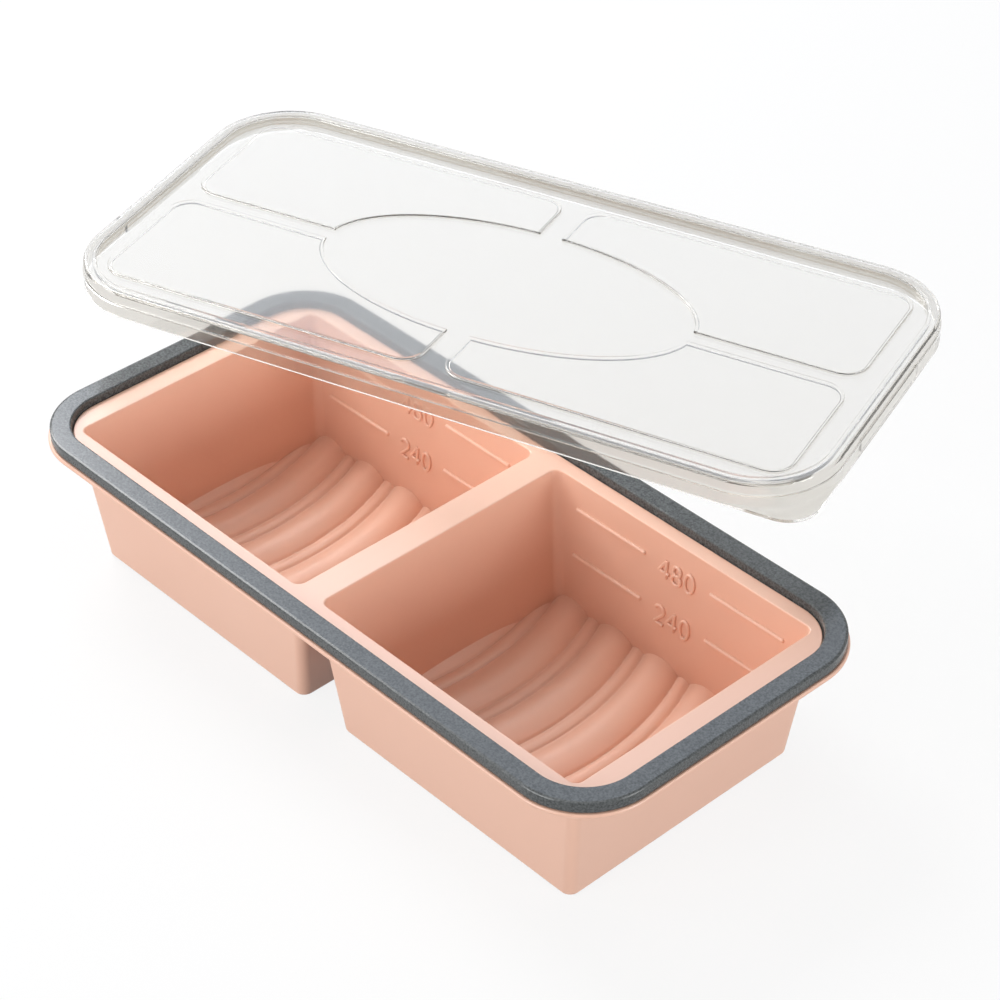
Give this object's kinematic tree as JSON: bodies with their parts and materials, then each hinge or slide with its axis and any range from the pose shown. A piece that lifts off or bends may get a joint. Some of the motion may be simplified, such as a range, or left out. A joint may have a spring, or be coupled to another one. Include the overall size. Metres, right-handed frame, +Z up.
{
  "type": "silicone freezer container",
  "caption": "Long silicone food tray with deep square wells, waved well floors, a stiff grey rim frame and a clear lid lifted off and turned above it.",
  "frame": {"origin": "on the table under the middle of the tray, midway between the two wells", "axes": "+X along the tray's length, +Y towards the wall with the fill lines, +Z up out of the wells"},
  "size_m": [0.3571, 0.2644, 0.0919],
  "materials": {
    "peach_silicone": "soft satin moulded silicone",
    "grey_plastic": "fine matte moulded texture",
    "steel": "plain sheet",
    "clear_plastic": "clear, slightly hazy moulded plastic"
  },
  "bodies": {
    "tray": {"silicone_tray": "peach_silicone", "rim_frame": "grey_plastic", "steel_ring": "steel"},
    "lid": {"clear_lid": "clear_plastic"}
  },
  "joints": [
    {"name": "lid_lift", "type": "slide", "parent": "tray", "child": "lid", "axis": [0, 0, 1], "range_m": [0, 0.08]}
  ]
}
